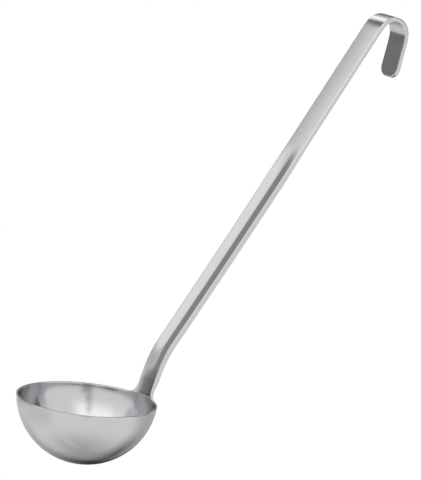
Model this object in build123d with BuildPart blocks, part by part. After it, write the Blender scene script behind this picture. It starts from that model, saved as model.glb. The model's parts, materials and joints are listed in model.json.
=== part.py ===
"""Soup ladle in stainless steel, modelled as the pieces that are welded together to make it.

The bowl is a deep-drawn spherical cap whose blank has a short neck. The handle is a forged
strip: a channelled lower run, a flat upper run and a hook. Neck and strip are butt-welded.

Frame: millimetres, +Z up along the bowl's axis, square to the rim. The handle leans towards
+X in the plane Y = 0, the ladle's plane of symmetry. The origin is the centre of the rail
that the hook hangs on.
"""

import os
from math import asin, cos, degrees, hypot, radians, sin, sqrt

from build123d import *

# Bowl: a spherical cap, a little less than half a sphere
rim_radius = 45.0  # outside, at the rim
sphere_rise = 3.6  # height of the sphere's centre above the rim
bowl_sheet = 1.5  # wall of the drawn bowl

# Neck: the tab of the bowl's blank that rises from the rim
root_rise = 0.5  # how far the bowl's curve runs on above the rim
root_bend_radius = 6.0  # where the inside of the bowl turns into the neck
neck_length = 9.5  # straight length below the weld
neck_lean = 15.6  # degrees from upright
neck_width = 15.6
neck_depth = 3.6  # front to back at the weld
neck_pull_low = 3.0  # how far the back line keeps the rim's direction
neck_pull_high = 3.0  # how far it keeps the weld's
root_flare_radius = 5.5  # between the neck's sides and the rim

# Weld between neck and strip, ground flush
weld_gap = 1.2

# Handle: a strip bent to an arc above its foot, with a channel pressed into its lower run
foot_length = 3.5  # straight length above the weld
bend_radius = 68.0  # bend above the foot, on the front edges
channel_length = 129.0  # run with the full channel, above the bend
channel_foot_width = 15.9  # its width at the bend
channel_hollow = 1.1  # depth of the channel in the front face
channel_crown = 0.5  # swelling of the back face behind it
channel_bow = 1.5  # degrees that the channelled run straightens on its way up
fade_length = 28.0  # where the channel runs out to the flat strip
flat_length = 93.0  # from there to the hook
handle_lean = 33.2  # degrees from upright, of the flat run
strip_width = 17.0
strip_thickness = 3.0

# Hook
rail_radius = 9.8  # inside of the bend
tail_length = 26.4  # straight free end
tail_tuck = 10.4  # degrees that the free end points back towards the handle
tail_corner_radius = 6.5

# Finish and modelling
edge_break = 0.5  # bevel on every long edge and on the rim
overrun = 5.0  # how far a cut reaches past what it cuts
bend_steps = 4  # sections of the strip on the bend above the foot
channel_steps = 14  # and on the full channel
fade_shares = ((3 / 4, 0.84), (1 / 2, 0.5), (1 / 4, 0.16), (0, 0))  # places on the fade, channel left there

# Worked out from the sizes above
right_angle = 90
sphere_radius = hypot(rim_radius, sphere_rise)
hollow_radius = sphere_radius - bowl_sheet
back_lean = degrees(asin((sphere_rise - root_rise) / sphere_radius))
front_lean = degrees(asin((sphere_rise - root_rise) / hollow_radius))
channel_lean = handle_lean + channel_bow
channel_height = strip_thickness + channel_hollow - channel_crown
fade_share = fade_length / (channel_length + fade_length)
hook_outer_radius = rail_radius + strip_thickness
hook_turn = 2 * right_angle + tail_tuck - handle_lean


def along(lean):
    """Direction in the plane of symmetry of a line that leans from upright towards +X."""
    return (sin(radians(lean)), cos(radians(lean)))


def sagitta(radius, width):
    """Height of an arc of that radius over a chord of that width."""
    return radius - sqrt(radius**2 - (width / 2) ** 2)


def blend(start, end, share):
    """Value that share of the way from start to end."""
    return start + (end - start) * share


def strip_plane(line, share):
    """Plane of a section on a line walked downwards: x along +Y, y out of the front face."""
    return Plane(origin=line @ share, x_dir=(0, 1, 0), z_dir=-(line % share))


def strip_section(plane, width, height, hollow, crown):
    """Section with its front on y = 0: hollow front, flat sides, crowned back, bevelled corners."""
    half = width / 2
    with BuildSketch(plane) as section:
        with BuildLine():
            if hollow:
                front = ThreePointArc((-half, 0), (0, -hollow), (half, 0))
                back = ThreePointArc((half, -height), (0, -height - crown), (-half, -height))
            else:
                front = Line((-half, 0), (half, 0))
                back = Line((half, -height), (-half, -height))
            Line(front @ 1, back @ 0)
            Line(back @ 1, front @ 0)
        make_face()
        chamfer(section.vertices(), edge_break)
    return section.sketch


# Front line of neck and weld in the plane of symmetry, from the centre of the rim
sphere_centre = (0, sphere_rise)
with BuildLine() as neck_front:
    inside = CenterArc(sphere_centre, hollow_radius, -right_angle, right_angle - front_lean)
    root_bend = JernArc(inside @ 1, inside % 1, root_bend_radius, front_lean - neck_lean)
    neck_run = Line(root_bend @ 1, root_bend @ 1 + root_bend % 1 * neck_length)
    weld_run = Line(neck_run @ 1, neck_run @ 1 + neck_run % 1 * weld_gap)

neck_top = neck_run @ 1
weld_top = weld_run @ 1
level_depth = neck_depth / cos(radians(neck_lean))
foot_hollow = sagitta(weld_top.X, neck_width)
foot_crown = sagitta(weld_top.X + level_depth, neck_width)
foot_height = level_depth + foot_hollow - foot_crown

# Front edges of the strip in the plane of symmetry, from the top of the flat run both ways
hook_start = (-cos(radians(handle_lean)) * hook_outer_radius, sin(radians(handle_lean)) * hook_outer_radius)
bow_radius = (channel_length + fade_length) / radians(channel_bow)
with BuildLine(Plane.XZ) as hook_path:
    flat_run = PolarLine(hook_start, flat_length, -right_angle - handle_lean)
    hook_bend = JernArc(hook_start, along(handle_lean), hook_outer_radius, -hook_turn)
    tail_run = PolarLine(hook_bend @ 1, tail_length - tail_corner_radius, direction=hook_bend % 1)

with BuildLine(Plane.XZ) as lower_path:
    channel_run = JernArc(flat_run @ 1, flat_run % 1, bow_radius, -channel_bow)
    lower_bend = JernArc(channel_run @ 1, channel_run % 1, bend_radius, channel_lean - neck_lean)
    foot_run = Line(lower_bend @ 1, lower_bend @ 1 + lower_bend % 1 * foot_length)

foot = foot_run @ 1
rim_centre = Vector(foot.X + foot_hollow - weld_top.X, 0, foot.Z - weld_top.Y)
bowl_axis = Axis(rim_centre, (0, 0, 1))
side_view = Plane(origin=rim_centre, x_dir=(1, 0, 0), z_dir=(0, -1, 0))
front_view = Plane(origin=rim_centre, x_dir=(0, 1, 0), z_dir=(1, 0, 0))
neck_reach = weld_top.X + level_depth + overrun

os.makedirs("parts", exist_ok=True)

# Bowl: cap and neck are turned as one wall, and the wall above the rim is cut away but for the neck
with BuildPart() as bowl:
    with BuildSketch(side_view):
        with BuildLine():
            add([inside, root_bend, neck_run])
            top = Line(neck_top, neck_top + (level_depth, 0))
            outside = CenterArc(sphere_centre, sphere_radius, -right_angle, right_angle - back_lean)
            Bezier(
                top @ 1,
                top @ 1 - Vector(along(neck_lean)) * neck_pull_high,
                outside @ 1 + outside % 1 * neck_pull_low,
                outside @ 1,
            )
            Line(outside @ 0, inside @ 0)
        make_face()
    revolve(axis=bowl_axis)

    with BuildSketch(front_view):
        Rectangle(2 * neck_reach, neck_top.Y + overrun, align=(Align.CENTER, Align.MIN))
    extrude(amount=-neck_reach, mode=Mode.SUBTRACT)
    with BuildSketch(front_view):
        with BuildLine():
            side = Line((neck_width / 2, neck_top.Y + overrun), (neck_width / 2, root_flare_radius))
            flare = JernArc(side @ 1, side % 1, root_flare_radius, right_angle)
            Polyline(flare @ 1, (neck_reach, 0), (neck_reach, neck_top.Y + overrun), side @ 0)
        make_face()
        mirror(about=Plane.YZ)
    extrude(amount=neck_reach, mode=Mode.SUBTRACT)

    neck_sides = bowl.faces().filter_by(Axis.Y)
    flares = bowl.faces().filter_by(GeomType.CYLINDER)
    rim = bowl.faces().filter_by(Axis.Z).sort_by(Axis.Z)[0]
    curved_edges = (neck_sides + flares + [rim]).edges().filter_by(GeomType.LINE, reverse=True)
    chamfer(curved_edges, edge_break)

# Weld: filler between neck and handle, dressed down to their section
with BuildPart() as weld_seam:
    with BuildSketch(side_view):
        Polygon(
            neck_top,
            weld_top,
            weld_top + Vector(level_depth, 0),
            neck_top + Vector(level_depth, 0),
            align=None,
        )
    revolve(axis=bowl_axis)
    with BuildSketch(front_view):
        with Locations((0, blend(neck_top.Y, weld_top.Y, 1 / 2))):
            Rectangle(neck_width, weld_gap + overrun)
    extrude(amount=neck_reach, mode=Mode.INTERSECT)
    weld_sides = weld_seam.faces().filter_by(Axis.Y)
    chamfer(weld_sides.edges().filter_by(GeomType.LINE, reverse=True), edge_break)

# Sections of the strip's lower run, from the foot up to the flat strip
channel_stations = [(blend(1, fade_share, step / channel_steps), 1) for step in range(channel_steps + 1)]
channel_stations += [(fade_share * share, left_share) for share, left_share in fade_shares]
foot_plane = Plane(origin=foot, x_dir=(0, 1, 0), z_dir=(0, 0, 1))
run_sections = [strip_section(foot_plane, neck_width, foot_height, foot_hollow, foot_crown)]
for step in range(bend_steps):
    share = 1 - step / bend_steps
    width = blend(channel_foot_width, neck_width, share)
    height = blend(channel_height, neck_depth, share)
    hollow = blend(channel_hollow, foot_hollow, share)
    crown = blend(channel_crown, foot_crown, share)
    run_sections.append(strip_section(strip_plane(lower_bend, share), width, height, hollow, crown))
for share, left_share in channel_stations:
    width = blend(strip_width, channel_foot_width, share)
    hollow = channel_hollow * left_share
    crown = channel_crown * left_share
    height = strip_thickness + hollow - crown
    run_sections.append(strip_section(strip_plane(channel_run, share), width, height, hollow, crown))

# Tip of the tail: the last stretch of the strip, with its two corners rounded off
tail_axis = Axis(tail_run @ 1, tail_run % 1)
tip_plane = Plane(origin=tail_run @ 1, x_dir=tail_run % 1, z_dir=(tail_run % 1).cross(Vector(0, 1, 0)))
with BuildPart() as tail_tip:
    with BuildSketch(tip_plane):
        with BuildLine():
            corner = JernArc((0, strip_width / 2), (1, 0), tail_corner_radius, -right_angle)
            Line(corner @ 1, (tail_corner_radius, 0))
            Line((0, 0), (0, strip_width / 2))
            mirror(about=Plane.XZ)
        make_face()
    extrude(amount=-strip_thickness)
    broad_faces = tail_tip.faces().filter_by(tip_plane)
    joint = tail_tip.faces().filter_by(tail_axis).sort_by(tail_axis)[0]
    chamfer(broad_faces.edges() - joint.edges(), edge_break)

# Handle: the lower run is lofted, and the flat strip is swept round the hook
with BuildPart() as handle:
    loft(sections=run_sections)
    sweep(sections=run_sections[-1], path=hook_path.line)
    add(tail_tip)

for name, piece in {"bowl": bowl, "weld_seam": weld_seam, "handle": handle}.items():
    piece.part.label = name
    export_step(piece.part, f"parts/{name}.step")
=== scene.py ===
"""Looks of the stainless steel soup ladle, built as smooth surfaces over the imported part.

The bowl with its neck, the weld and the strip handle with its hook are each one closed skin.
Lengths are in metres and share the part's frame: the origin is the centre of the rail in the
hook, +Z runs up along the bowl's axis and the handle leans towards +X in the plane Y = 0.
"""

import json
from math import asin, cos, hypot, radians, sin, sqrt, tan

import bmesh
import bpy
import numpy as np
from mathutils import Matrix, Vector


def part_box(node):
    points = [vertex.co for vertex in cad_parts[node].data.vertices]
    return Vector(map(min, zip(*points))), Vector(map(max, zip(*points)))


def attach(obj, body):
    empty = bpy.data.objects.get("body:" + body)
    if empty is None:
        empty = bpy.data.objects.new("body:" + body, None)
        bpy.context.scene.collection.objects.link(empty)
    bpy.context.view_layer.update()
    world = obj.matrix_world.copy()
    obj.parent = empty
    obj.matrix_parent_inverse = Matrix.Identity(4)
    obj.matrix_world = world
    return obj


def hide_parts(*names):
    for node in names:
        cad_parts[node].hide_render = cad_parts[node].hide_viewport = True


bl_info = {
    "name": "Soup ladle",
    "version": (1, 0, 0),
    "blender": (4, 5, 0),
    "location": "3D View > Sidebar > Ladle",
    "description": "Dresses a steel soup ladle and sets its studio",
    "category": "Object",
}

MM = 0.001
BODY = "root"

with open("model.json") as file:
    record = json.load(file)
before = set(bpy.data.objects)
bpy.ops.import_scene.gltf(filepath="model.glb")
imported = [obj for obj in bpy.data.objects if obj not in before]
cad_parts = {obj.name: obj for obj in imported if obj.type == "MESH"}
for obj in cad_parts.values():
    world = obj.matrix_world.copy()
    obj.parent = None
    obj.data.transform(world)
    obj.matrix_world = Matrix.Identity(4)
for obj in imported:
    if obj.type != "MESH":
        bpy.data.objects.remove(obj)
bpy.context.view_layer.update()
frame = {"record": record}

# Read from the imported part
bowl_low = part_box("bowl")[0]
weld_low, weld_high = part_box("weld_seam")
handle_low, handle_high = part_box("handle")
RAIL_RADIUS = frame["record"]["mounts"][0]["dims"]["r_mm"] * MM

# The photograph and the view that it was taken from
PHOTO_WIDTH, PHOTO_HEIGHT = 421, 480
FOCAL_PIXELS = 3937
SENSOR_WIDTH = 36.0  # in millimetres, as Blender takes it
VIEW_AZIMUTH, VIEW_ELEVATION, VIEW_ROLL = -126.93, 11.12, 6.61
VIEW_DISTANCE = 2500 * MM
VIEW_RIGHT_OF_RIM, VIEW_ABOVE_RIM = 78.57 * MM, 101.0 * MM
VIEW_REACH = 8 * VIEW_DISTANCE  # the camera sees nothing beyond it

LENGTH_DIGITS = 5  # decimals of a length in the sidebar


def length(name, description, default):
    """Property for a real length in metres."""
    return bpy.props.FloatProperty(
        name=name, description=description, default=default, unit="LENGTH", precision=LENGTH_DIGITS
    )


def angle(name, description, default):
    """Property for an angle, given here in degrees and kept in radians."""
    turn = radians(default)
    return bpy.props.FloatProperty(name=name, description=description, default=turn, unit="ROTATION")


def share(name, description, default):
    """Property for a plain number from 0 to 1."""
    return bpy.props.FloatProperty(
        name=name, description=description, default=default, min=0, max=1, subtype="FACTOR"
    )


def linear(hex_colour):
    """Linear colour of an sRGB hex value: each channel over 255, then the sRGB curve undone."""
    channels = np.array([int(hex_colour[place : place + 2], 16) for place in (1, 3, 5)]) / 255
    return tuple(np.where(channels <= 0.04045, channels / 12.92, ((channels + 0.055) / 1.055) ** 2.4))


def colour(name, description, hex_colour):
    """Property for a colour, given here as an sRGB hex value."""
    tint = linear(hex_colour)
    return bpy.props.FloatVectorProperty(
        name=name, description=description, default=tint, subtype="COLOR", size=3, min=0, max=1
    )


class BowlSizes(bpy.types.PropertyGroup):
    """Sizes of the drawn bowl, its neck and the weld"""

    rim_radius: length("Rim radius", "Outside of the bowl at the rim", 45 * MM)
    sphere_rise: length("Sphere rise", "Height of the sphere's centre above the rim", 3.6 * MM)
    sheet: length("Sheet", "Wall of the drawn bowl", 1.5 * MM)
    root_rise: length("Root rise", "Height of the bend's start over the rim", -0.4 * MM)
    root_bend: length("Root bend", "Radius of the bend from the inside into the neck", 18 * MM)
    neck_length: length("Neck length", "Straight length below the weld", 8.36 * MM)
    neck_lean: angle("Neck lean", "Lean of the neck from upright", 15.6)
    neck_width: length("Neck width", "Width of neck and weld", weld_high.y - weld_low.y)
    neck_depth: length("Neck depth", "Front to back at the weld", 3.6 * MM)
    pull_low: length("Lower pull", "How far the back line keeps the rim's direction", 3 * MM)
    pull_high: length("Upper pull", "How far the back line keeps the weld's direction", 3 * MM)
    flare: length("Flare", "Radius between the neck's sides and the rim", 6.6 * MM)
    weld_gap: length("Weld", "Length of the weld along the neck", 1.2 * MM)
    edge: length("Edge", "Rounding of the rim and of the edges of neck and weld", 0.3 * MM)


class HandleSizes(bpy.types.PropertyGroup):
    """Sizes of the strip, from its foot to the free end of the hook"""

    foot: length("Foot", "Straight length above the weld", 3.5 * MM)
    bend_radius: length("Bend", "Radius of the bend above the foot", 68 * MM)
    channel: length("Channel", "Run with the full channel", 129 * MM)
    foot_width: length("Foot width", "Width of the channel at the bend", 15.9 * MM)
    hollow: length("Hollow", "Depth of the channel in the front", 1.1 * MM)
    crown: length("Crown", "Swelling of the back behind the channel", 0.5 * MM)
    bow: angle("Bow", "How much the channelled run straightens on its way up", 1.5)
    fade: length("Fade", "Length over which the channel runs out", 28 * MM)
    flat: length("Flat", "Length from there to the hook", 93 * MM)
    lean: angle("Lean", "Lean of the flat run from upright", 33.2)
    width: length("Width", "Width of the flat strip", handle_high.y - handle_low.y)
    thickness: length("Thickness", "Thickness of the flat strip", 3 * MM)
    tail: length("Tail", "Straight free end of the hook", 26.4 * MM)
    tuck: angle("Tuck", "How far the free end points back to the handle", 10.4)
    tail_corner: length("Tail corner", "Radius of the free end's corners", 6.5 * MM)
    belly: length("Belly", "Swelling of the flat front", 0.1 * MM)
    channel_edge: length("Channel edge", "Rounding of the edges beside the channel", 0.4 * MM)
    edge: length("Edge", "Rounding of the flat strip's edges", 0.8 * MM)


class FinishLooks(bpy.types.PropertyGroup):
    """Colours of steel, weld and floor, and the steel's roughness"""

    steel: colour("Steel", "Colour of the stainless steel", "#bebfc1")
    weld: colour("Weld", "Colour of the ground weld", "#bdbec0")
    roughness: share("Roughness", "Roughness of the satin finish", 0.15)
    floor: colour("Floor", "Colour of the floor", "#f2f2f0")


# Grain of the satin finish
GRAIN_WIDTH = 2 * MM  # across a scratch, drawn coarse enough to show
GRAIN_LENGTH = 60 * MM
GRAIN_DEPTH = 0.01 * MM
GRAIN_DETAIL = 4  # layers of finer noise
GRAIN_CONTRAST = 0.05  # how far the roughness strays from its mean
RING_RADIUS = 45 * MM  # where the rings on the bowl have their true length

FLOOR_DROP = 160 * MM  # how far the floor lies under the hanging bowl
FLOOR_RADIUS = 350 * MM
FLOOR_CORNERS = 96
FLOOR_ROUGHNESS = 0.8

# Studio around the ladle: the walls' brightness as the steel reflects it, the plain light on the
# floor, the white that the camera sees, then the cards in front of the walls. Each card has its
# azimuth, elevation, half width, half height and soft border in degrees, and its brightness. A
# later card lies over an earlier one, and a half width of 180 or more goes all round.
STUDIO_WALLS = 1.1
FLOOR_LIGHT = 1.0
BACKDROP_LIGHT = 1.0
STUDIO_CARDS = (
    ("table under the bowl", 0, -90, 180, 25, 25, 0.64),
    ("left wall, lower part", 112, -26, 60, 16, 10, 0.93),
    ("back wall", 22, 6, 50, 31, 16, 0.66),
    ("dark panel on the back wall", 57, 12, 12, 14, 6, 0.24),
    ("table behind the bowl", 38, -48, 45, 17, 30, 0.03),
    ("shadow on the table", 49, -34, 9, 17, 12, 0.01),
    ("dark ceiling", 0, 90, 190, 14, 8, 0.25),
    ("doorway in the back wall", -20, 14, 22, 22, 5, 0.08),
    ("dark room on the left", 112, -3, 30, 14, 6, 0.24),
    ("dark curtain on the left", 100, 16, 20, 16, 6, 0.38),
    ("left softbox", 140, 40, 25, 20, 12, 1.33),
    ("stand of the softbox", 138, 21, 14, 8, 5, 0.77),
    ("dark flag", 106, 39, 9, 6, 3, 0.22),
    ("lamp behind", 81, 40, 8, 9, 4, 1.75),
    ("front softbox", -147, 50, 44, 20, 13, 1.68),
    ("gap beside the dark room", 115, 0, 7, 3, 3, 0.05),
    ("camera stand", -124, -4, 9, 16, 5, 0.58),
    ("camera on its stand", -129, 20, 5, 8, 5, 0.64),
    ("arm over the camera", -132, 36, 5, 9, 5, 0.98),
)

# How finely the surfaces are divided
NECK_COLUMNS = 24
RIM_COLUMNS = 232
CAP_ROWS = 84
FLARE_ROWS = 16
NECK_ROWS = 16
ROUND_STEPS = 5
SIDE_STEPS = 6
WELD_ROWS = 3
STATION_STEP = 1 * MM
FRONT_POINTS = 29
TIP_STATIONS = 20
CURVE_POINTS = 200

SOFTEN_REACH = 7  # stations on each side in a running mean
BELLY_FADE = 8 * MM  # before the tip, where the belly runs out
MERGE_DISTANCE = 0.001 * MM
SHARP_ANGLE = radians(40)


def swell(count):
    """Shares from -1 to 1, closer together at both ends: the sine of evenly spaced angles."""
    return np.sin(np.linspace(-np.pi / 2, np.pi / 2, count))


def smooth_step(x):
    """Rises from 0 to 1 with level ends: 3x squared less 2x cubed."""
    x = np.clip(x, 0, 1)
    return x * x * (3 - 2 * x)


def groove(x):
    """1 in the middle and 0 at -1 and 1, level at all three: half of one plus the cosine of pi x."""
    return (1 + np.cos(np.pi * x)) / 2


def direction(lean):
    """(x, z) of lines that lean from upright towards +X: the sine and the cosine of the lean."""
    return np.stack([np.sin(lean), np.cos(lean)], -1)


def soften(values):
    """Running mean of stations, weighted by a raised cosine; the end values carry on past the ends."""
    window = np.hanning(2 * SOFTEN_REACH + 3)[1:-1]
    return np.convolve(np.pad(values, SOFTEN_REACH, "edge"), window / window.sum(), "valid")


def flat_shares():
    """Shares of the way across the flat of an edge, between its two roundings."""
    return (1 + swell(SIDE_STEPS + 1)[1:-1]) / 2


def edge_profile(thickness, radius):
    """Section of a rounded edge, from one broad face over the edge to the other.

    Each point is (out, down): out runs from 0 on the broad faces to the radius on the edge,
    down from 0 to the thickness. Both corners are quarter circles: out is the radius times the
    sine, down the radius times one less the cosine.
    """
    turn = np.linspace(0, np.pi / 2, ROUND_STEPS + 1)
    out, down = radius * np.sin(turn), radius * (1 - np.cos(turn))
    middle = flat_shares() * (thickness - 2 * radius) + radius
    return (
        np.concatenate([out, np.broadcast_to(radius, middle.shape), out[..., ::-1]], -1),
        np.concatenate([down, middle, thickness - down[..., ::-1]], -1),
    )


def end_cap(front, back, right, left):
    """Grid that closes an end, from its front edge to its back one, between the rounded sides."""
    across = np.linspace(0, 1, right.shape[0])[:, None, None]
    middle = front + (back - front) * across
    return np.concatenate([left[:, None], middle, right[:, None]], 1)


def closed_skin(name, patches):
    """Mesh object of grids of points, (rows, columns, 3) each, whose shared borders are merged."""
    points, faces, start = [], [], 0
    for patch in patches:
        rows, columns, _ = patch.shape
        index = start + np.arange(rows * columns).reshape(rows, columns)
        corners = [index[:-1, :-1], index[:-1, 1:], index[1:, 1:], index[1:, :-1]]
        faces.append(np.stack(corners, -1).reshape(-1, 4))
        points.append(patch.reshape(-1, 3))
        start += rows * columns
    mesh = bpy.data.meshes.new(name)
    mesh.from_pydata(np.concatenate(points).tolist(), [], np.concatenate(faces).tolist())
    merged = bmesh.new()
    merged.from_mesh(mesh)
    bmesh.ops.remove_doubles(merged, verts=merged.verts, dist=MERGE_DISTANCE)
    bmesh.ops.recalc_face_normals(merged, faces=merged.faces)
    open_edges = sum(not edge.is_manifold for edge in merged.edges)
    merged.to_mesh(mesh)
    merged.free()
    if open_edges:
        raise RuntimeError(f"{name} has {open_edges} open edges")
    mesh.shade_smooth()
    mesh.set_sharp_from_angle(angle=SHARP_ANGLE)
    piece = bpy.data.objects.new(name, mesh)
    bpy.context.scene.collection.objects.link(piece)
    return piece


def dress(name, patches, node, material):
    """Makes the skin that stands for a node of the part, with its material and its place in the frame."""
    piece = closed_skin(name, patches)
    piece.data.materials.append(material)
    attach(piece, BODY)
    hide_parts(node)


class Wall:
    """The turned wall of bowl, neck and weld: its two radii at any height above the rim."""

    def __init__(self, sizes):
        """Works out where sphere, bend, neck and weld meet on the inside, as (radius, height).

        The bend's centre lies behind its start, in line with the sphere's centre. Neck and weld
        follow one straight line from the bend's end. The rim's centre is placed so that the
        weld's back reaches the weld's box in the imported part.
        """
        self.sizes, self.edge = sizes, sizes.edge
        self.outer_sphere = hypot(sizes.rim_radius, sizes.sphere_rise)
        self.inner_sphere = self.outer_sphere - sizes.sheet
        self.level_depth = sizes.neck_depth / cos(sizes.neck_lean)
        low_lean = asin((sizes.sphere_rise - sizes.root_rise) / self.inner_sphere)
        self.bend_start = np.array([self.inner_sphere * cos(low_lean), sizes.root_rise])
        self.bend_centre = self.bend_start + sizes.root_bend * np.array([cos(low_lean), -sin(low_lean)])
        up_neck = direction(sizes.neck_lean)
        self.bend_end = self.bend_centre + sizes.root_bend * np.array([-up_neck[1], up_neck[0]])
        self.neck_top = self.bend_end + sizes.neck_length * up_neck
        self.weld_top = self.neck_top + sizes.weld_gap * up_neck
        weld_back = self.weld_top + [self.level_depth, 0]
        self.rim_centre = np.array([weld_high.x - weld_back[0], 0, weld_high.z - weld_back[1]])

    def inner(self, height):
        """Radius of the inside: the sphere, then the root bend's arc, then the neck's straight line."""
        sizes = self.sizes
        below = np.minimum(height - sizes.sphere_rise, 0)
        sphere = np.sqrt(np.maximum(self.inner_sphere**2 - below**2, 0))
        rise = np.clip(height - self.bend_centre[1], -sizes.root_bend, sizes.root_bend)
        bend = self.bend_centre[0] - np.sqrt(sizes.root_bend**2 - rise**2)
        straight = self.bend_end[0] + (height - self.bend_end[1]) * tan(sizes.neck_lean)
        above = np.where(height < self.bend_end[1], bend, straight)
        return np.where(height < self.bend_start[1], sphere, above)

    def outer(self, height):
        """Radius of the outside: the sphere, then a cubic curve, then a straight line beside the weld.

        The curve keeps the sphere's direction below and the neck's above, each for its pull. Its
        radius at a height is read between finely spaced points on it.
        """
        sizes = self.sizes
        low_lean = asin((sizes.sphere_rise - sizes.root_rise) / self.outer_sphere)
        low = np.array([self.outer_sphere * cos(low_lean), sizes.root_rise])
        high = self.neck_top + np.array([self.level_depth, 0])
        low_pull = low + sizes.pull_low * direction(low_lean)
        high_pull = high - sizes.pull_high * direction(sizes.neck_lean)
        t = np.linspace(0, 1, CURVE_POINTS)[:, None]
        curve = (1 - t) ** 3 * low + 3 * t * (1 - t) ** 2 * low_pull
        curve += 3 * t**2 * (1 - t) * high_pull + t**3 * high
        below = np.minimum(height - sizes.sphere_rise, 0)
        sphere = np.sqrt(np.maximum(self.outer_sphere**2 - below**2, 0))
        bend = np.interp(height, curve[:, 1], curve[:, 0])
        straight = high[0] + (height - high[1]) * tan(sizes.neck_lean)
        return np.where(height < low[1], sphere, np.where(height < high[1], bend, straight))

    def at_angle(self, radii, angles, height):
        """Points at those radii and angles about the bowl's axis, moved to the bowl's place."""
        radii, angles, height = np.broadcast_arrays(radii, angles, height)
        return np.stack([radii * np.cos(angles), radii * np.sin(angles), height], -1) + self.rim_centre

    def at_side(self, radii, side, height):
        """Points at those radii and that far to the side.

        Their x squared is the radius squared less the side squared.
        """
        radii, side, height = np.broadcast_arrays(radii, side, height)
        return np.stack([np.sqrt(radii**2 - side**2), side, height], -1) + self.rim_centre

    def outline(self):
        """Half width and height of the neck's inset outline, from rim to neck top, and the way out of it.

        The flare is a quarter circle about a centre beside the neck, the side a straight line.
        """
        sizes, edge = self.sizes, self.edge
        turn = np.linspace(0, np.pi / 2, FLARE_ROWS + 1)
        half = sizes.neck_width / 2
        flare_out = np.stack([np.sin(turn), np.cos(turn)], -1)
        flare = [half + sizes.flare, sizes.flare] - (sizes.flare + edge) * flare_out
        heights = np.linspace(sizes.flare, self.neck_top[1], NECK_ROWS + 1)[1:]
        side = np.stack([np.full(NECK_ROWS, half - edge), heights], -1)
        side_out = np.tile([1.0, 0.0], (NECK_ROWS, 1))
        return np.concatenate([flare, side]), np.concatenate([flare_out, side_out])

    def edge_across(self, outline, out):
        """Points over the edge, from the inner sheet to the outer one, at each place of the outline.

        The corner on each sheet and the rounding's two ends span a small frame, in which the
        rounding is a quarter circle.
        """
        sharp = outline + out * self.edge
        sheets = []
        for radius in (self.inner, self.outer):
            on_sheet = self.at_side(radius(outline[:, 1]), outline[:, 0], outline[:, 1])
            corner = self.at_side(radius(sharp[:, 1]), sharp[:, 0], sharp[:, 1])
            sheets.append((on_sheet, corner))
        return self.rounded_between(*sheets)

    def both_edges(self, outline, out):
        """Points over the right edge, and over the left one, whose sides are the right one's mirrored."""
        mirror = np.array([-1, 1])
        return self.edge_across(outline, out), self.edge_across(outline * mirror, out * mirror)

    def rounded_between(self, first, second):
        """Quarter circle off the first sheet, flat edge, quarter circle onto the second, as columns."""
        turn = np.linspace(0, np.pi / 2, ROUND_STEPS + 1)[None, :, None]
        span = second[1] - first[1]
        across = span / np.linalg.norm(span, axis=-1, keepdims=True) * self.edge
        quarters = []
        for (on_sheet, corner), step in ((first, across), (second, -across)):
            inward = on_sheet - corner
            middle = (corner + inward + step)[:, None]
            quarters.append(middle - step[:, None] * np.cos(turn) - inward[:, None] * np.sin(turn))
        down, up = quarters[0], quarters[1][:, ::-1]
        flat = down[:, -1:] + (up[:, :1] - down[:, -1:]) * flat_shares()[None, :, None]
        return np.concatenate([down, flat, up], 1)

    def bowl_patches(self):
        """Skin of bowl and neck: grids on both sheets, over the edges and on the neck's top.

        The neck's grid runs up its outline and across between its sides. The cap's runs in even
        angles of its sphere from the bottom up, and round in the neck's columns and then in even
        angles.
        """
        outline, out = self.outline()
        sides, heights = swell(NECK_COLUMNS + 1), outline[:, 1:]
        sheets, rims = [], []
        for radius, sphere in ((self.inner, self.inner_sphere), (self.outer, self.outer_sphere)):
            sheets.append(self.at_side(radius(heights), sides * outline[:, :1], heights))
            neck_angles = np.arcsin(sides * outline[0, 0] / radius(outline[0, 1]))
            rim_angles = np.linspace(neck_angles[-1], 2 * np.pi + neck_angles[0], RIM_COLUMNS + 1)
            angles = np.concatenate([neck_angles, rim_angles[1:]])
            last = np.arccos((self.sizes.sphere_rise + self.edge) / sphere)
            polar = np.linspace(0, last, CAP_ROWS + 1)[:, None]
            depths = self.sizes.sphere_rise - sphere * np.cos(polar)
            sheets.append(self.at_angle(radius(depths), angles, depths))
            on_sheet = self.at_angle(radius(-self.edge), rim_angles, -self.edge)
            corner = self.at_angle(radius(0.0), rim_angles, 0.0)
            rims.append((on_sheet, corner))
        right, left = self.both_edges(outline, out)
        rim = self.rounded_between(*rims)
        rim[0], rim[-1] = right[0], left[0]
        top = end_cap(sheets[0][-1], sheets[2][-1], right[-1], left[-1])
        return [*sheets, right, left, rim, top]

    def weld_patches(self):
        """Skin of the weld: grids on both sheets, over both sides and on both ends."""
        half = self.sizes.neck_width / 2 - self.edge
        heights = np.linspace(self.neck_top[1], self.weld_top[1], WELD_ROWS)
        sides, rows = swell(NECK_COLUMNS + 1) * half, heights[:, None]
        inner = self.at_side(self.inner(rows), sides, rows)
        outer = self.at_side(self.outer(rows), sides, rows)
        outline = np.stack([np.full(WELD_ROWS, half), heights], -1)
        right, left = self.both_edges(outline, np.tile([1.0, 0.0], (WELD_ROWS, 1)))
        ends = [end_cap(inner[row], outer[row], right[row], left[row]) for row in (0, -1)]
        return [inner, outer, right, left, *ends]


class LADLE_OT_bowl(bpy.types.Operator):
    """Makes the drawn bowl with its neck"""

    bl_idname = "ladle.bowl"
    bl_label = "Bowl"

    def execute(self, context):
        wall, looks = Wall(context.scene.ladle_bowl), context.scene.ladle_looks
        name, centre = "Satin stainless steel, drawn", wall.rim_centre
        steel = satin_steel(name, looks.steel, looks.roughness, around_bowl, centre)
        dress("Bowl", wall.bowl_patches(), "bowl", steel)
        return {"FINISHED"}


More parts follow.
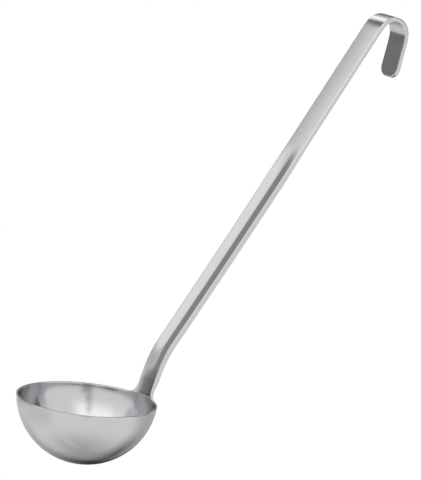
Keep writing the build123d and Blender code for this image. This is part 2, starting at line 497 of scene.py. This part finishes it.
class LADLE_OT_weld(bpy.types.Operator):
    """Makes the ground weld between neck and handle"""

    bl_idname = "ladle.weld"
    bl_label = "Weld"

    def execute(self, context):
        wall, looks = Wall(context.scene.ladle_bowl), context.scene.ladle_looks
        # Dressed with the strip's own abrasive, so the eye hardly tells it from the steel beside it
        name, lean = "Stainless steel weld, ground flush", wall.sizes.neck_lean
        steel = satin_steel(name, looks.weld, looks.roughness, along_strip, lean)
        dress("Weld", wall.weld_patches(), "weld_seam", steel)
        return {"FINISHED"}


class Strip:
    """The bent strip: stations along its front line, from the foot on the weld to the tip of the tail."""

    def __init__(self, sizes, wall):
        """Works out the lean at each station and the front line, as (x, z).

        The leans run straight between the ends of the stretches, and are softened. Each step of
        the line is the chord of an arc: the step walked times sin(x) / x, where x is half of its
        turn, halfway between the leans of its ends. The line is laid so that the flat run
        reaches the hook's start, square to it at the hook's outer radius from the rail.
        """
        self.sizes = sizes
        lean, neck_lean = sizes.lean, wall.sizes.neck_lean
        bend_turn, hook_turn = lean + sizes.bow - neck_lean, np.pi + sizes.tuck - lean
        hook_radius = RAIL_RADIUS + sizes.thickness
        lengths = [0, sizes.foot, sizes.bend_radius * bend_turn, sizes.channel + sizes.fade]
        lengths += [sizes.flat, hook_radius * hook_turn, sizes.tail - sizes.tail_corner]
        turns = [0, 0, bend_turn, -sizes.bow, 0, hook_turn, 0]
        ends = np.cumsum(lengths)
        self.foot_end, self.bend_top, self.fade_top, hook_start = ends[1:5]
        self.tip_start = ends[-1]
        self.walked = np.linspace(0, self.tip_start, round(self.tip_start / STATION_STEP) + 1)
        self.leans = soften(np.interp(self.walked, ends, neck_lean + np.cumsum(turns)))
        middle = (self.leans[1:] + self.leans[:-1]) / 2
        half_turn = (self.leans[1:] - self.leans[:-1]) / 2
        chords = np.diff(self.walked) * np.sinc(half_turn / np.pi)
        line = np.concatenate([np.zeros((1, 2)), np.cumsum(chords[:, None] * direction(middle), 0)])
        half_flat = sizes.flat / 2
        at_flat = [np.interp(hook_start - half_flat, self.walked, line[:, axis]) for axis in (0, 1)]
        up_flat = half_flat * direction(lean)
        self.line = line - at_flat - up_flat + hook_radius * np.array([-cos(lean), sin(lean)])
        self.sections(wall)

    def sections(self, wall):
        """Half width, height, hollow, crown, belly and edge rounding at each station.

        They run straight between the foot, both ends of the bend and the top of the fade, and the
        widths, hollow and crown are softened. Hollow and crown fade out by a smooth step, while
        the belly of the flat front fades in; it fades out again towards the tip.
        """
        sizes = self.sizes
        foot_radius = wall.weld_top[0]
        back_radius = foot_radius + wall.level_depth
        half_neck = wall.sizes.neck_width / 2
        foot_hollow = foot_radius - sqrt(foot_radius**2 - half_neck**2)
        foot_crown = back_radius - sqrt(back_radius**2 - half_neck**2)
        foot_height = wall.level_depth + foot_hollow - foot_crown
        channel_height = sizes.thickness + sizes.hollow - sizes.crown
        bend = [0, self.foot_end, self.bend_top]
        fade = [self.fade_top - sizes.fade, self.fade_top]
        left = smooth_step((self.fade_top - self.walked) / sizes.fade)
        widths = [wall.sizes.neck_width, wall.sizes.neck_width, sizes.foot_width, sizes.width]
        self.half = soften(np.interp(self.walked, [*bend, self.fade_top], widths)) / 2
        hollow = np.interp(self.walked, bend, [foot_hollow, foot_hollow, sizes.hollow])
        crown = np.interp(self.walked, bend, [foot_crown, foot_crown, sizes.crown])
        self.hollow, self.crown = soften(hollow) * left, soften(crown) * left
        height = np.interp(self.walked, bend, [foot_height, wall.sizes.neck_depth, channel_height])
        above = sizes.thickness + (self.hollow - self.crown)
        self.height = np.where(self.walked > self.bend_top, above, height)
        self.belly = sizes.belly * (1 - left) * smooth_step((self.tip_start - self.walked) / BELLY_FADE)
        edges = [wall.edge, sizes.channel_edge, sizes.channel_edge, sizes.edge]
        self.edge = np.interp(self.walked, [0, self.bend_top, *fade], edges)
        self.waved = smooth_step(self.walked / self.bend_top)
        tilt = smooth_step(self.walked / self.foot_end)
        self.facing = np.where(self.walked < self.foot_end, wall.sizes.neck_lean * tilt, self.leans)

    def place(self, station, along, side, out):
        """Points that far along the line from their stations, to the side, and out of the front face."""
        lean, facing, start = self.leans[station], self.facing[station], self.line[station]
        x = start[..., 0] + along * np.sin(lean) - out * np.cos(facing)
        z = start[..., 1] + along * np.cos(lean) + out * np.sin(facing)
        return np.stack(np.broadcast_arrays(x, side, z), -1)

    def loops(self, station, turn):
        """Sections at the stations as closed loops of points; at the tip, turned round its corner.

        The channel is a wave across the width, and an arc next to the weld. Crown and belly are
        parabolas: their height times one less the share of the half width squared. The turn is the
        angle already walked round the corner of the free end.
        """
        edge, height, corner = self.edge[station], self.height[station], self.sizes.tail_corner
        half_flat = self.half[station] - corner + (corner - edge) * np.cos(turn)
        base = (corner - edge) * np.sin(turn)
        across = swell(FRONT_POINTS)
        arc = 1 - across**2
        hollow = arc + (groove(across) - arc) * self.waved[station]
        front = self.belly[station] * arc - self.hollow[station] * hollow
        back = -height - self.crown[station] * arc
        out, down = edge_profile(height, edge)
        beyond, sideways = base + out * np.sin(turn), half_flat + out * np.cos(turn)
        right = self.place(station, beyond, sideways, -down)
        left = self.place(station, beyond, -sideways, -down)
        front = self.place(station, base, across * half_flat, front)
        back = self.place(station, base, across[::-1] * half_flat, back)
        return np.concatenate([front, right[:, 1:-1], back, left[:, -2:0:-1], front[:, :1]], 1)

    def patches(self):
        """Skin of the strip: all loops in a row, the end face of the tail and the cap at the foot."""
        last = self.walked.size - 1
        stations = np.append(np.arange(last), np.full(TIP_STATIONS + 1, last))
        turns = np.append(np.zeros(last), np.linspace(0, np.pi / 2, TIP_STATIONS + 1))
        skin = self.loops(stations[:, None], turns[:, None])
        edge, corner = self.edge[last], self.sizes.tail_corner
        across = swell(FRONT_POINTS) * (self.half[last] - corner)
        out, down = edge_profile(self.height[last], edge)
        end_face = self.place(last, (corner - edge + out)[:, None], across, -down[:, None])
        foot, front, side = skin[0], FRONT_POINTS, out.size - 2
        right = foot[front - 1 : front + side + 1]
        left = np.concatenate([foot[:1], foot[-2 : -side - 3 : -1]])
        back = foot[front + side : 2 * front + side][::-1]
        return [skin, end_face, end_cap(foot[:front], back, right, left)]


class LADLE_OT_handle(bpy.types.Operator):
    """Makes the strip handle with its channel and hook"""

    bl_idname = "ladle.handle"
    bl_label = "Handle"

    def execute(self, context):
        sizes, looks = context.scene.ladle_handle, context.scene.ladle_looks
        strip = Strip(sizes, Wall(context.scene.ladle_bowl))
        name = "Satin stainless steel, forged"
        steel = satin_steel(name, looks.steel, looks.roughness, along_strip, sizes.lean)
        dress("Handle", strip.patches(), "handle", steel)
        return {"FINISHED"}


def add_node(tree, kind, inputs=None, **settings):
    """Adds a node with its settings; an input is a plain value or another node's output."""
    node = tree.nodes.new(kind)
    for name, value in settings.items():
        setattr(node, name, value)
    for place, value in (inputs or {}).items():
        if isinstance(value, bpy.types.NodeSocket):
            tree.links.new(value, node.inputs[place])
        else:
            node.inputs[place].default_value = value
    return node


def along_strip(tree, place, lean):
    """Grain place on a strip that leans from upright: the object's place, turned upright."""
    turned = add_node(tree, "ShaderNodeVectorRotate", {0: place, "Angle": -lean}, rotation_type="Y_AXIS")
    return turned.outputs[0]


def around_bowl(tree, place, centre):
    """Grain place in rings round the bowl's axis: radius, height, and the angle as an arc's length."""
    moved = add_node(tree, "ShaderNodeVectorMath", {0: place, 1: centre}, operation="SUBTRACT").outputs[0]
    x, y, z = add_node(tree, "ShaderNodeSeparateXYZ", {0: moved}).outputs
    flat = add_node(tree, "ShaderNodeCombineXYZ", {0: x, 1: y}).outputs[0]
    radius = add_node(tree, "ShaderNodeVectorMath", {0: flat}, operation="LENGTH").outputs["Value"]
    turn = add_node(tree, "ShaderNodeMath", {0: y, 1: x}, operation="ARCTAN2").outputs[0]
    arc = add_node(tree, "ShaderNodeMath", {0: turn, 1: RING_RADIUS}, operation="MULTIPLY").outputs[0]
    return add_node(tree, "ShaderNodeCombineXYZ", {0: radius, 1: z, 2: arc}).outputs[0]


def satin_steel(name, tint, roughness, grain_place, reference):
    """Stainless steel, forged or drawn and then satin finished with fine abrasive.

    The eye gets soft reflections of its surroundings and a faint grain along the abrasive's
    way. The grain is a noise drawn out along the third axis of the grain's place, which is
    measured by the reference: the strip's lean or the bowl's centre. Its scratches are as
    coarse as they need to be to show.
    """
    material = bpy.data.materials.new(name)
    material.use_nodes = True
    tree = material.node_tree
    shader = tree.nodes["Principled BSDF"]
    shader.inputs["Metallic"].default_value = 1
    shader.inputs["Base Color"].default_value = (*tint, 1)
    place = add_node(tree, "ShaderNodeTexCoord").outputs["Object"]
    along_grain = grain_place(tree, place, reference)
    stretch = (1 / GRAIN_WIDTH, 1 / GRAIN_WIDTH, 1 / GRAIN_LENGTH)
    drawn = add_node(tree, "ShaderNodeMapping", {"Vector": along_grain, "Scale": stretch}).outputs[0]
    noise = {"Vector": drawn, "Scale": 1, "Detail": GRAIN_DETAIL}
    grain = add_node(tree, "ShaderNodeTexNoise", noise).outputs[0]
    least, most = roughness - GRAIN_CONTRAST, roughness + GRAIN_CONTRAST
    rough = add_node(tree, "ShaderNodeMapRange", {"Value": grain, "To Min": least, "To Max": most})
    bump = add_node(tree, "ShaderNodeBump", {"Height": grain, "Distance": GRAIN_DEPTH})
    tree.links.new(rough.outputs[0], shader.inputs["Roughness"])
    tree.links.new(bump.outputs[0], shader.inputs["Normal"])
    return material


class LADLE_OT_stage(bpy.types.Operator):
    """Sets the floor, the light and the camera"""

    bl_idname = "ladle.stage"
    bl_label = "Studio"

    def execute(self, context):
        scene = context.scene
        scene.view_settings.view_transform = "Standard"
        place_camera(scene)
        place_floor(scene)
        light_world(scene)
        return {"FINISHED"}


def place_camera(scene):
    """Camera at the photograph's direction, turned by its roll, aimed beside the bowl's rim."""
    azimuth, elevation, roll = radians(VIEW_AZIMUTH), radians(VIEW_ELEVATION), radians(VIEW_ROLL)
    back = Vector((cos(azimuth) * cos(elevation), sin(azimuth) * cos(elevation), sin(elevation)))
    level = Vector((-sin(azimuth), cos(azimuth), 0))
    upright = back.cross(level)
    right = cos(roll) * level + sin(roll) * upright
    up = cos(roll) * upright - sin(roll) * level
    wall = Wall(scene.ladle_bowl)
    target = Vector(wall.rim_centre) + right * VIEW_RIGHT_OF_RIM + up * VIEW_ABOVE_RIM
    camera = bpy.data.objects.new("Camera", bpy.data.cameras.new("Camera"))
    camera.data.sensor_width = SENSOR_WIDTH
    camera.data.lens = SENSOR_WIDTH * FOCAL_PIXELS / max(PHOTO_WIDTH, PHOTO_HEIGHT)
    camera.data.clip_end = VIEW_REACH
    turn = Matrix((right, up, back)).transposed().to_4x4()
    camera.matrix_world = Matrix.Translation(target + back * VIEW_DISTANCE) @ turn
    scene.collection.objects.link(camera)
    scene.camera = camera


def place_floor(scene):
    """Round floor under the hanging ladle.

    It is board with matt paint: the eye gets an even pale ground that takes soft shadows. The
    steel doesn't reflect it, because the studio's cards stand for it there.
    """
    mesh = bpy.data.meshes.new("Floor")
    disc = bmesh.new()
    bmesh.ops.create_circle(disc, cap_ends=True, segments=FLOOR_CORNERS, radius=FLOOR_RADIUS)
    centre = (bowl_low + handle_high) / 2
    bmesh.ops.translate(disc, verts=disc.verts, vec=(centre.x, centre.y, bowl_low.z - FLOOR_DROP))
    disc.to_mesh(mesh)
    disc.free()
    floor = bpy.data.objects.new("Floor", mesh)
    scene.collection.objects.link(floor)
    material = bpy.data.materials.new("Matt painted board")
    material.use_nodes = True
    shader = material.node_tree.nodes["Principled BSDF"]
    shader.inputs["Base Color"].default_value = (*scene.ladle_looks.floor, 1)
    shader.inputs["Roughness"].default_value = FLOOR_ROUGHNESS
    mesh.materials.append(material)
    floor.visible_glossy = False


def card_mask(tree, toward, card):
    """1 inside a card and 0 outside it, faded over the card's soft border.

    A card is a patch of the studio around the ladle, between two azimuths and two elevations.
    The mask is the product of one for each angle, which falls off smoothly with its distance
    from the card's middle.
    """
    _, azimuth, elevation, half_width, half_height, soft, _ = card
    angles = {0: toward, "Angle": -radians(azimuth)}
    turned = add_node(tree, "ShaderNodeVectorRotate", angles, rotation_type="Z_AXIS").outputs[0]
    x, y, z = add_node(tree, "ShaderNodeSeparateXYZ", {0: turned}).outputs
    sideways = add_node(tree, "ShaderNodeMath", {0: y, 1: x}, operation="ARCTAN2").outputs[0]
    height = add_node(tree, "ShaderNodeMath", {0: z}, operation="ARCSINE").outputs[0]
    middle = radians(elevation)
    upward = add_node(tree, "ShaderNodeMath", {0: height, 1: middle}, operation="SUBTRACT").outputs[0]
    masks = []
    for off, half in ((sideways, half_width), (upward, half_height)):
        distance = add_node(tree, "ShaderNodeMath", {0: off}, operation="ABSOLUTE").outputs[0]
        border = {"Value": distance, "From Min": radians(half + soft), "From Max": radians(half - soft)}
        faded = add_node(tree, "ShaderNodeMapRange", border, interpolation_type="SMOOTHSTEP")
        masks.append(faded.outputs[0])
    return add_node(tree, "ShaderNodeMath", {0: masks[0], 1: masks[1]}, operation="MULTIPLY").outputs[0]


def light_world(scene):
    """White where the camera sees it, a studio with its cards in the steel, plain light on the floor.

    A mix of numbers takes its share at place 0 and its two numbers at places 2 and 3.
    """
    world = bpy.data.worlds.new("Studio")
    scene.world = world
    world.use_nodes = True
    tree = world.node_tree
    toward = add_node(tree, "ShaderNodeTexCoord").outputs["Generated"]
    level = STUDIO_WALLS
    for card in STUDIO_CARDS:
        covered = {0: card_mask(tree, toward, card), 2: level, 3: card[-1]}
        level = add_node(tree, "ShaderNodeMix", covered, data_type="FLOAT").outputs[0]
    ray = add_node(tree, "ShaderNodeLightPath").outputs
    reflected = {0: ray["Is Glossy Ray"], 2: FLOOR_LIGHT, 3: level}
    lit = add_node(tree, "ShaderNodeMix", reflected, data_type="FLOAT").outputs[0]
    direct = {0: ray["Is Camera Ray"], 2: lit, 3: BACKDROP_LIGHT}
    strength = add_node(tree, "ShaderNodeMix", direct, data_type="FLOAT").outputs[0]
    tree.nodes["Background"].inputs["Color"].default_value = (1, 1, 1, 1)
    tree.links.new(strength, tree.nodes["Background"].inputs["Strength"])


class LADLE_PT_sidebar(bpy.types.Panel):
    """Lists the pieces and the studio with their sizes and colours"""

    bl_label = "Soup ladle"
    bl_space_type = "VIEW_3D"
    bl_region_type = "UI"
    bl_category = "Ladle"

    def draw(self, context):
        scene = context.scene
        groups = (
            (("ladle.bowl", "ladle.weld"), scene.ladle_bowl),
            (("ladle.handle",), scene.ladle_handle),
            (("ladle.stage",), scene.ladle_looks),
        )
        for operators, values in groups:
            box = self.layout.box()
            for operator in operators:
                box.operator(operator)
            for value in values.__annotations__:
                box.prop(values, value)


CLASSES = (
    BowlSizes,
    HandleSizes,
    FinishLooks,
    LADLE_OT_bowl,
    LADLE_OT_weld,
    LADLE_OT_handle,
    LADLE_OT_stage,
    LADLE_PT_sidebar,
)


def register():
    """Adds the classes, and their sizes and looks to the scene."""
    for kind in CLASSES:
        bpy.utils.register_class(kind)
    bpy.types.Scene.ladle_bowl = bpy.props.PointerProperty(type=BowlSizes)
    bpy.types.Scene.ladle_handle = bpy.props.PointerProperty(type=HandleSizes)
    bpy.types.Scene.ladle_looks = bpy.props.PointerProperty(type=FinishLooks)


def unregister():
    """Takes out what register added, in the opposite order."""
    del bpy.types.Scene.ladle_looks
    del bpy.types.Scene.ladle_handle
    del bpy.types.Scene.ladle_bowl
    for kind in reversed(CLASSES):
        bpy.utils.unregister_class(kind)


def main():
    register()
    bpy.ops.ladle.bowl()
    bpy.ops.ladle.weld()
    bpy.ops.ladle.handle()
    bpy.ops.ladle.stage()


if __name__ == "__main__":
    main()
